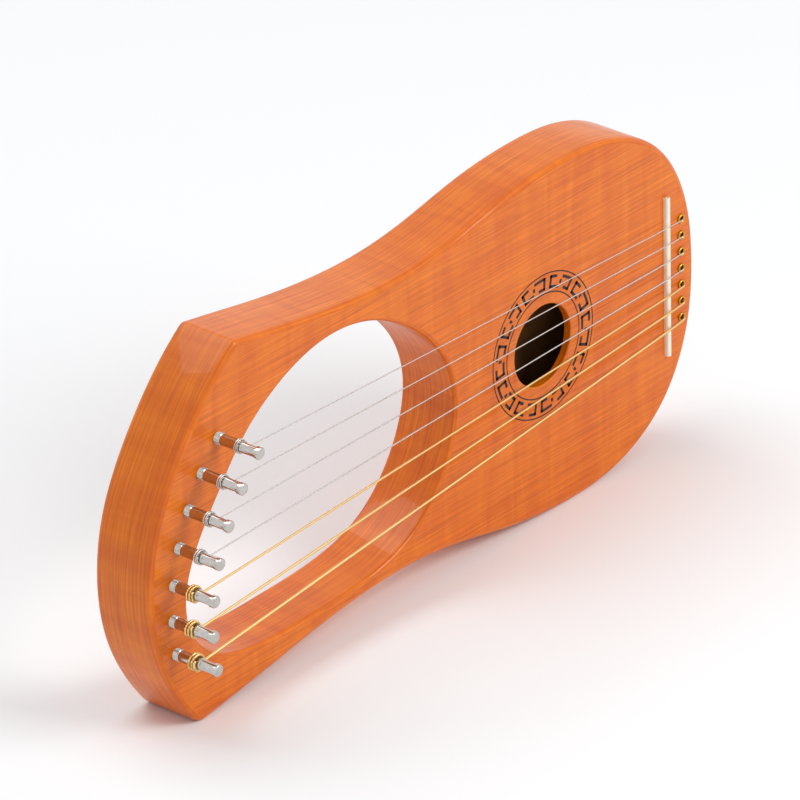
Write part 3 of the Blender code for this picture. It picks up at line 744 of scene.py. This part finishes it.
class LYRE_OT_body(bpy.types.Operator):
    """Build the lacquered body as one seamless skin."""

    bl_idname = "lyre.body"
    bl_label = "Body"

    def execute(self, context):
        sizes = context.scene.lyre_sizes
        colours = context.scene.lyre_colours
        hole = oval(0.0, 0.0, SOUND_HOLE_RADIUS, SOUND_HOLE_RADIUS, HOLE_SIDES)
        walls = [(outline(), rounded_profile(sizes.edge_radius)),
                 (opening(), rounded_profile(sizes.opening_edge_radius)),
                 (hole, sound_hole_profile())]
        for y in spread(EYELET_PITCH):
            ball_hole = oval(EYELET_X, y, BALL_HOLE_RADIUS, BALL_HOLE_RADIUS, BALL_HOLE_SIDES)
            walls.append((ball_hole, ball_hole_profile()))
        points, faces, grain, tops, bottoms = [], [], [], [], []
        count = 0
        for number, (loop, profile) in enumerate(walls):
            some, quads, corners = wall_of(loop, profile, count, WALL_GRAIN_STEP * number)
            points.append(some)
            faces += quads
            grain.append(corners)
            bottoms.append(count + np.arange(len(loop)))
            tops.append(count + (len(profile) - 1) * len(loop) + np.arange(len(loop)))
            count += len(some)
        points = np.vstack(points)
        face = cap_of(tops[:3], points, 1)
        back = cap_of(bottoms[:2] + bottoms[3:], points, -1)
        flats = np.vstack([face, back])
        place = points[flats.ravel()]
        grain.append(np.column_stack([place[:, :2], np.full(len(place), FLAT_GRAIN)]))
        finish_piece(
            "body_skin", points, faces + flats.tolist(),
            lacquered_mahogany(colours.wood_light, colours.wood_dark), "harp",
            ["soundboard", "back_plate", "head_block", "treble_arm", "bass_arm", "treble_rib",
             "bass_rib", "waist_bar", "tail_block"],
            range(len(faces), len(faces) + len(flats)), np.vstack(grain))
        return {"FINISHED"}


class LYRE_OT_hollow(bpy.types.Operator):
    """Build the inside as the sound hole shows it, and finish the braces."""

    bl_idname = "lyre.hollow"
    bl_label = "Hollow"

    def execute(self, context):
        # Ovals from the hole's edge out under the face, down to the back and in to its middle
        look = bare_wood()
        floor_z = -BODY_DEPTH + BACK_THICKNESS
        stages = (
            (0.0, SOUND_HOLE_RADIUS, SOUND_HOLE_RADIUS, -FACE_THICKNESS),
            (HOLLOW_CENTRE_X, HOLLOW_HALF_LENGTH, HOLLOW_HALF_WIDTH, -FACE_THICKNESS),
            (HOLLOW_CENTRE_X, HOLLOW_HALF_LENGTH, HOLLOW_HALF_WIDTH, floor_z),
            (HOLLOW_CENTRE_X, UNSEEN, UNSEEN, floor_z),
        )
        rings = [np.column_stack([oval(x, 0.0, half_length, half_width, HOLE_SIDES),
                                  np.full(HOLE_SIDES, z)])
                 for x, half_length, half_width, z in stages]
        faces = turned_over(grid_faces(len(stages), HOLE_SIDES).tolist())
        finish_piece("hollow", np.vstack(rings), faces, look, "harp", [],
                     range(len(faces)))
        refinish("brace_1", look)
        refinish("brace_2", look)
        return {"FINISHED"}


class LYRE_OT_rosette(bpy.types.Operator):
    """Build the rosette: two thin rings and a fret of hooked strokes between them."""

    bl_idname = "lyre.rosette"
    bl_label = "Rosette"

    @staticmethod
    def stroke(low, high, start, end):
        """A bar between two radii and two angles, with a level top and closed sides."""
        steps = max(2, math.ceil(abs(end - start) / STROKE_STEP) + 1)
        a = np.linspace(start, end, steps)[:, None]
        r = np.array([low, high, high, low])
        z = np.array([-INLAY_HEIGHT, -INLAY_HEIGHT, INLAY_HEIGHT, INLAY_HEIGHT])
        points = np.stack([r * np.cos(a), r * np.sin(a), z + 0 * a], axis=-1)
        return points.reshape(-1, 3), turned_over(capped_faces(steps, len(r)))

    def execute(self, context):
        look = burnt_inlay(context.scene.lyre_colours.inlay)
        shapes = []
        half = RING_WIDTH / 2
        for radius in RING_RADII:
            ring = [(radius - half, -INLAY_HEIGHT), (radius + half, -INLAY_HEIGHT),
                    (radius + half, INLAY_HEIGHT), (radius - half, INLAY_HEIGHT)]
            shapes.append(swept_ring(ring, RING_SIDES))
        low, high = FRET_RADII
        middle = (low + high) / 2
        unit = 2 * math.pi / FRET_UNITS
        length = unit * FRET_SHARE
        bar = FRET_STROKE / middle
        for number in range(FRET_UNITS):
            start = FRET_FIRST_ANGLE - number * unit
            end = start - length
            strokes = (
                (low, high, start, start - bar),
                (low, low + FRET_STROKE, start, start - LONG_LEG * length),
                (high - FRET_STROKE, high, start, start - SHORT_LEG * length),
                (middle - DASH_HEIGHT / 2, middle + DASH_HEIGHT / 2,
                 start - length / 2 + bar / 2, start - length / 2 - bar / 2),
                (low, high, end + bar, end),
                (high - FRET_STROKE, high, end + LONG_LEG * length, end),
                (low, low + FRET_STROKE, end + SHORT_LEG * length, end),
            )
            shapes += [self.stroke(*stroke) for stroke in strokes]
        points, faces = joined(shapes)
        finish_piece("rosette", points, faces, look, "harp", [], range(len(faces)))
        return {"FINISHED"}


class LYRE_OT_saddle(bpy.types.Operator):
    """Build the saddle."""

    bl_idname = "lyre.saddle"
    bl_label = "Saddle"

    def execute(self, context):
        # A section with a round top, carried along the saddle and drawn in round its ends
        half = SADDLE_WIDTH / 2
        a = quarter()
        x = half - SADDLE_ROUNDING * (1 - np.cos(a))
        z = SADDLE_RISE - SADDLE_ROUNDING * (1 - np.sin(a))
        profile = np.vstack([
            [(-half, -FACE_THICKNESS), (half, -FACE_THICKNESS)],
            np.column_stack([x, z]), np.column_stack([-x, z])[::-1],
        ])
        rings = []
        soft = np.linspace(0.0, SADDLE_END_RADIUS, SADDLE_END_RINGS)
        for end, insets in ((-1, soft), (1, soft[::-1])):
            for inset in insets:
                left = SADDLE_END_RADIUS - inset
                back = SADDLE_END_RADIUS - math.sqrt(SADDLE_END_RADIUS ** 2 - left ** 2)
                y = end * (SADDLE_LENGTH / 2 - back)
                scale = 1.0 - left * SADDLE_END_TAPER
                rings.append(np.column_stack([SADDLE_X + profile[:, 0] * scale,
                                              np.full(len(profile), y), profile[:, 1] * scale]))
        faces = turned_over(capped_faces(len(rings), len(profile)))
        look = polished_cream(context.scene.lyre_colours.cream)
        saddle = finish_piece("saddle_bar", np.vstack(rings), faces, look, "harp",
                              ["saddle"])
        saddle.data.set_sharp_from_angle(angle=SADDLE_SHARP)
        return {"FINISHED"}


class LYRE_OT_eyelets(bpy.types.Operator):
    """Build the eyelets with a near-black disc of painted shade in each bore, and finish the ball
    ends.
    """

    bl_idname = "lyre.eyelets"
    bl_label = "Eyelets and ball ends"

    def execute(self, context):
        # A rolled rim, half an oval in section, over a tube that goes down into the face
        brass = polished_brass(context.scene.lyre_colours.brass)
        dark = painted_bore_shade()
        middle = (EYELET_FLANGE_RADIUS + EYELET_BORE_RADIUS) / 2
        reach = EYELET_FLANGE_RADIUS - middle
        ring = [(middle + reach * math.cos(t), EYELET_LOW + EYELET_HEIGHT * math.sin(t))
                for t in np.linspace(0.0, math.pi, EYELET_ROLL_POINTS)]
        ring += [(EYELET_BORE_RADIUS, -EYELET_DEPTH), (EYELET_TUBE_RADIUS, -EYELET_DEPTH),
                 (EYELET_TUBE_RADIUS, 0.0)]
        # A near-black disc just under the rim stands in for the shade inside the bore: painted shade
        bore_shade = [(EYELET_BORE_RADIUS, BORE_SHADE_LOW), (EYELET_BORE_RADIUS, BORE_SHADE_TOP)]
        for number, y in enumerate(spread(EYELET_PITCH), 1):
            place = (EYELET_X, y, 0)
            points, faces = swept_ring(ring, EYELET_SIDES)
            eyelet = finish_piece(f"eyelet_ring_{number}", points + place, faces, brass, "harp",
                                  [f"eyelet_{number}"])
            eyelet.data.set_sharp_from_angle(angle=EYELET_SHARP)
            points, faces = turned(bore_shade, BORE_SHADE_SIDES)
            finish_piece(f"eyelet_bore_shade_{number}", points + place, faces, dark, "harp",
                         [], range(len(faces)))
            refinish(f"ball_end_{number}", brass)
        return {"FINISHED"}


class LYRE_OT_pins(bpy.types.Operator):
    """Build the seven tuning pins, with their thread, shaft, flats and cap."""

    bl_idname = "lyre.pins"
    bl_label = "Tuning pins"

    @staticmethod
    def section(radius, z, angle):
        """A helical thread near the wood, and four flats milled on the head.

        The thread's cut rises and falls once for each pitch and turn. A flat's radius is its
        distance from the axis over the cosine of the angle from its middle.
        """
        thread = (z / PIN_THREAD_PITCH - angle / (2 * math.pi)) % 1.0
        cut = PIN_THREAD_DEPTH * (1 - np.abs(2 * thread - 1)) * (z < PIN_BAND)
        from_flat = (angle + math.pi / 4) % (math.pi / 2) - math.pi / 4
        flat = PIN_FLAT_HALF / np.cos(from_flat)
        on_head = (z > PIN_HEAD_START + UNSEEN) & (z < PIN_HEAD_START + PIN_FLAT_LENGTH - UNSEEN)
        return np.where(on_head, np.minimum(radius, flat), radius - cut)

    def execute(self, context):
        look = nickel_plate(context.scene.lyre_colours.nickel)
        flats_end = PIN_HEAD_START + PIN_FLAT_LENGTH
        profile = [(PIN_RADIUS, z) for z in np.linspace(-PIN_BURIED, PIN_BAND, THREAD_RINGS)]
        profile += [
            (PIN_SHAFT_RADIUS, PIN_BAND + PIN_BAND_SLOPE),
            (PIN_SHAFT_RADIUS, PIN_HEAD_START - PIN_HEAD_SLOPE),
            (PIN_RADIUS, PIN_HEAD_START),
            (PIN_RADIUS, PIN_HEAD_START + PIN_FLAT_FADE),
            (PIN_RADIUS, flats_end - PIN_FLAT_FADE),
            (PIN_RADIUS, flats_end),
        ]
        a = quarter()
        profile += np.column_stack([PIN_RADIUS - PIN_CHAMFER * (1 - np.cos(a)),
                                    PIN_OUT - PIN_CHAMFER * (1 - np.sin(a))]).tolist()
        points, faces = turned(profile, PIN_SIDES, self.section)
        for number, ((x, y), turn) in enumerate(zip(pin_places(), PIN_REST_TURNS), 1):
            c, s = math.cos(turn), math.sin(turn)
            at = np.column_stack([x + c * points[:, 0] - s * points[:, 1],
                                  y + s * points[:, 0] + c * points[:, 1], points[:, 2]])
            pin = finish_piece(f"pin_{number}", at, faces, look, f"tuning_pin_{number}",
                               [f"tuning_pin_{number}"])
            pin.data.set_sharp_from_angle(angle=PIN_SHARP)
        return {"FINISHED"}


class LYRE_OT_strings(bpy.types.Operator):
    """Build the seven strings, each with its winding, its run and its end in the eyelet."""

    bl_idname = "lyre.strings"
    bl_label = "Strings"

    @staticmethod
    def winding(number, saddle):
        """A string's turns round its pin, from the pin's hole to the straight run.

        The tail turns out of the hole while it sinks onto the turns' radius, each by a power of
        its course. Then the angle and the depth grow evenly, a pitch a turn, until the line to
        the saddle is a tangent.
        """
        radius = STRING_RADII[number]
        x, y = pin_places()[number]
        top = PIN_HEAD_START - radius - STRING_GAP
        wound = PIN_SHAFT_RADIUS + STRING_GAP + radius
        pitch = 2 * radius + WINDING_GAP
        towards = Vector((saddle[0] - x, saddle[1] - y))
        leaving = math.atan2(towards.y, towards.x) - math.acos(wound / towards.length)
        hole = PIN_REST_TURNS[number]
        total = WHOLE_TURNS * 2 * math.pi + (leaving - hole) % (2 * math.pi)
        course = np.linspace(0.0, 1.0, TAIL_POINTS, endpoint=False)
        tail_lift = TAIL_LIFT * (1 - course) ** TAIL_LIFT_POWER
        tail_angle = TAIL_TURN * course ** TAIL_TURN_POWER
        steps = round(LOOP_POINTS * (total - TAIL_TURN) / (2 * math.pi))
        rest = np.linspace(TAIL_TURN, total, steps + 1)
        drop = total / (2 * math.pi) * pitch
        r = np.concatenate([[PIN_SHAFT_RADIUS + STRING_GAP], wound + tail_lift,
                            np.full(steps + 1, wound)])
        angle = hole + np.concatenate([[0.0], tail_angle, rest])
        z = np.concatenate([np.full(1 + TAIL_POINTS, top), top - drop * rest / total])
        return np.column_stack([x + r * np.cos(angle), y + r * np.sin(angle), z])

    @staticmethod
    def bend(before, corner, after, radius):
        """An arc of a given radius in place of a corner between two straight runs.

        Its centre lies on the line that halves the corner, and it ends where each run touches it.
        """
        a = (Vector(before) - Vector(corner)).normalized()
        b = (Vector(after) - Vector(corner)).normalized()
        half = a.angle(b) / 2
        reach = radius / math.tan(half)
        centre = Vector(corner) + (a + b).normalized() * (radius / math.sin(half))
        start = (Vector(corner) + a * reach - centre).normalized()
        end = (Vector(corner) + b * reach - centre).normalized()
        return [tuple(centre + radius * start.slerp(end, i / BEND_STEPS))
                for i in range(BEND_STEPS + 1)]

    def route(self, number):
        """A string's route: its winding, its straight run, over the saddle and down its eyelet."""
        radius = STRING_RADII[number]
        saddle = np.array((SADDLE_X, spread(SADDLE_STRING_PITCH)[number],
                           SADDLE_RISE + STRING_GAP + radius))
        coil = self.winding(number, saddle)
        last = coil[-1]
        run = last + (saddle - last) * np.linspace(RUN_START, RUN_END, RUN_POINTS)[:, None]
        y = spread(EYELET_PITCH)[number]
        above = (EYELET_X, y, EYELET_LOW + EYELET_HEIGHT + STRING_GAP + 2 * radius)
        below = (EYELET_X, y, -BALL_SEAT_DEPTH)
        over = self.bend(tuple(last), tuple(saddle), above, SADDLE_BEND_RADIUS)
        down = self.bend(tuple(saddle), above, below, 2 * radius + EYELET_BEND_SLACK)
        return np.vstack([coil, run, over, down, below])

    def execute(self, context):
        colours = context.scene.lyre_colours
        steel = drawn_steel(colours.steel)
        bronze = wound_bronze(colours.bronze)
        for number, radius in enumerate(STRING_RADII):
            plain = number < PLAIN_STRINGS
            points, faces = tube(self.route(number), radius, STRING_SIDES)
            finish_piece(f"wire_{number + 1}", points, faces, steel if plain else bronze, "harp",
                         [f"string_{number + 1}"])
        return {"FINISHED"}


class LYRE_OT_stage(bpy.types.Operator):
    """Build the pale floor, the pale room, the soft lamps and the camera."""

    bl_idname = "lyre.stage"
    bl_label = "Floor, room, lamps and camera"

    @staticmethod
    def add_floor(half):
        """A matt white floor."""
        look = new_material("pale_floor")
        matt = add_node(look.node_tree, "ShaderNodeBsdfDiffuse", Color=linear("FAFBFB"))
        add_node(look.node_tree, "ShaderNodeOutputMaterial", Surface=matt.outputs[0])
        mesh = bpy.data.meshes.new("floor")
        mesh.from_pydata([(-half, -half, 0), (half, -half, 0), (half, half, 0), (-half, half, 0)], [],
                         [(0, 1, 2, 3)])
        mesh.materials.append(look)
        floor = bpy.data.objects.new("floor", mesh)
        bpy.context.scene.collection.objects.link(floor)

    @staticmethod
    def add_room():
        """A dim pale room that is white where it is seen, reflected or looked at through glass."""
        world = bpy.data.worlds.new("pale_room")
        world.use_nodes = True
        tree = world.node_tree
        tree.nodes.clear()
        path = add_node(tree, "ShaderNodeLightPath")
        seen = add_node(tree, "ShaderNodeMath", {"operation": "ADD"},
                        _0=path.outputs["Is Camera Ray"], _1=path.outputs["Is Glossy Ray"])
        seen = add_node(tree, "ShaderNodeMath", {"operation": "ADD", "use_clamp": True},
                        _0=seen.outputs[0], _1=path.outputs["Is Transmission Ray"])
        dim = add_node(tree, "ShaderNodeBackground", Color=linear("F4F6FA"), Strength=ROOM_LIGHT)
        white = add_node(tree, "ShaderNodeBackground", Color=linear("FFFFFF"), Strength=1.0)
        mixed = add_node(tree, "ShaderNodeMixShader", Fac=seen.outputs[0], _1=dim.outputs[0],
                         _2=white.outputs[0])
        add_node(tree, "ShaderNodeOutputWorld", Surface=mixed.outputs[0])
        bpy.context.scene.world = world

    @staticmethod
    def add_lamps():
        """Square soft lamps, all turned to the harp's middle."""
        for name, place, size, energy in LAMPS:
            lamp = bpy.data.lights.new(name, "AREA")
            lamp.size = size
            lamp.energy = energy
            made = bpy.data.objects.new(name, lamp)
            made.location = place
            made.rotation_euler = (LAMP_AIM - Vector(place)).to_track_quat("-Z", "Y").to_euler()
            bpy.context.scene.collection.objects.link(made)

    @staticmethod
    def add_camera():
        """The camera, turned to its aim and then rolled about its own line of sight."""
        lens = bpy.data.cameras.new("camera")
        lens.lens = CAMERA_LENS
        lens.sensor_width = CAMERA_SENSOR
        lens.clip_end = CAMERA_REACH
        camera = bpy.data.objects.new("camera", lens)
        camera.location = CAMERA_PLACE
        camera.rotation_mode = "QUATERNION"
        turn = (CAMERA_AIM - CAMERA_PLACE).to_track_quat("-Z", "Y")
        camera.rotation_quaternion = turn @ Quaternion((0.0, 0.0, 1.0), CAMERA_ROLL)
        bpy.context.scene.collection.objects.link(camera)
        bpy.context.scene.camera = camera

    def execute(self, context):
        self.add_floor(context.scene.lyre_sizes.floor_size / 2)
        self.add_room()
        self.add_lamps()
        self.add_camera()
        context.scene.view_settings.view_transform = "Standard"
        return {"FINISHED"}


class LYRE_PT_panel(bpy.types.Panel):
    """The operators that build the harp, in order, and its sizes and colours."""

    bl_idname = "LYRE_PT_panel"
    bl_label = "Lyre harp"
    bl_space_type = "VIEW_3D"
    bl_region_type = "UI"
    bl_category = "Lyre harp"

    def draw(self, context):
        for operator in OPERATORS:
            self.layout.operator(operator.bl_idname)
        for group in (context.scene.lyre_sizes, context.scene.lyre_colours):
            for name in group.__annotations__:
                self.layout.prop(group, name)


OPERATORS = (LYRE_OT_body, LYRE_OT_hollow, LYRE_OT_rosette, LYRE_OT_saddle, LYRE_OT_eyelets,
             LYRE_OT_pins, LYRE_OT_strings, LYRE_OT_stage)
CLASSES = (LyreSizes, LyreColours, *OPERATORS, LYRE_PT_panel)


def register():
    for each in CLASSES:
        bpy.utils.register_class(each)
    bpy.types.Scene.lyre_sizes = bpy.props.PointerProperty(type=LyreSizes)
    bpy.types.Scene.lyre_colours = bpy.props.PointerProperty(type=LyreColours)


def unregister():
    del bpy.types.Scene.lyre_sizes
    del bpy.types.Scene.lyre_colours
    for each in reversed(CLASSES):
        bpy.utils.unregister_class(each)


def main():
    register()
    bpy.ops.lyre.body()
    bpy.ops.lyre.hollow()
    bpy.ops.lyre.rosette()
    bpy.ops.lyre.saddle()
    bpy.ops.lyre.eyelets()
    bpy.ops.lyre.pins()
    bpy.ops.lyre.strings()
    bpy.ops.lyre.stage()


if __name__ == "__main__":
    main()
